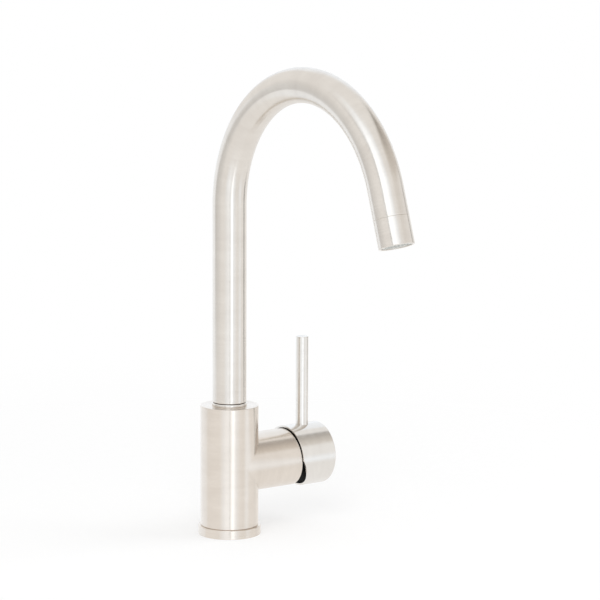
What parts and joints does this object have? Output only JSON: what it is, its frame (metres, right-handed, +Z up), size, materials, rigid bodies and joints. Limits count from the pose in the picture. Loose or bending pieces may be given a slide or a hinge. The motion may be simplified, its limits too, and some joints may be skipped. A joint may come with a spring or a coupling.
{
  "type": "kitchen faucet",
  "caption": "Deck-mounted single-lever kitchen mixer with a tall swivelling gooseneck spout and a side valve worked by an upright pin lever, in brushed nickel.",
  "frame": {"origin": "centre of the base ring's underside, on the worktop", "axes": "+Z up along the body and the spout's swivel axis, -Y the way the spout points, +X the way the valve branch points"},
  "size_m": [0.117, 0.2571, 0.3918],
  "materials": {
    "brushed_nickel": "fine brushed nickel plate, satin",
    "plain_brass": "machined brass",
    "screw_steel": "plain stainless steel",
    "black_plastic": "moulded black plastic",
    "white_acetal": "moulded acetal",
    "aerator_plastic": "moulded grey plastic",
    "disc_ceramic": "lapped alumina",
    "seal_rubber": "black nitrile rubber"
  },
  "bodies": {
    "body": {"body_casting": "brushed_nickel", "base_ring": "brushed_nickel", "base_gasket": "seal_rubber", "swivel_bush": "brushed_nickel", "slip_washer": "black_plastic", "retainer_screw": "screw_steel", "cartridge_base": "white_acetal", "cartridge_seals": "seal_rubber", "fixed_disc": "disc_ceramic", "cartridge_housing": "white_acetal", "cartridge_nut": "plain_brass", "cartridge_dome": "black_plastic"},
    "spout": {"spout_tube": "brushed_nickel", "spout_spigot": "plain_brass", "spigot_seals": "seal_rubber", "spout_tip": "brushed_nickel", "aerator_body": "aerator_plastic", "aerator_screen": "aerator_plastic", "aerator_core": "aerator_plastic", "aerator_seal": "seal_rubber"},
    "carrier": {"spindle_carrier": "white_acetal", "pivot_pin": "screw_steel"},
    "disc": {"moving_disc": "disc_ceramic", "disc_driver": "white_acetal"},
    "lever": {"spindle": "plain_brass", "handle_cap": "brushed_nickel", "lever_pin": "brushed_nickel", "handle_screw": "screw_steel"}
  },
  "joints": [
    {"name": "spout_swivel", "type": "hinge", "parent": "body", "child": "spout", "pos_m": [0, 0, 0.108], "axis": [0, 0, 1], "continuous": true},
    {"name": "temperature_turn", "type": "hinge", "parent": "body", "child": "carrier", "pos_m": [0.0575, 0, 0.0575], "axis": [1, 0, 0], "range_deg": [-50, 50]},
    {"name": "lever_lift", "type": "hinge", "parent": "carrier", "child": "lever", "pos_m": [0.0575, 0, 0.0575], "axis": [0, 1, 0], "range_deg": [0, 20]},
    {"name": "disc_slide", "type": "slide", "parent": "carrier", "child": "disc", "axis": [0, 0, 1], "range_m": [0, 0.0059]}
  ],
  "couplings": [
    {"joint": "disc_slide", "follows": "lever_lift", "m_per_rad": 0.0168}
  ]
}
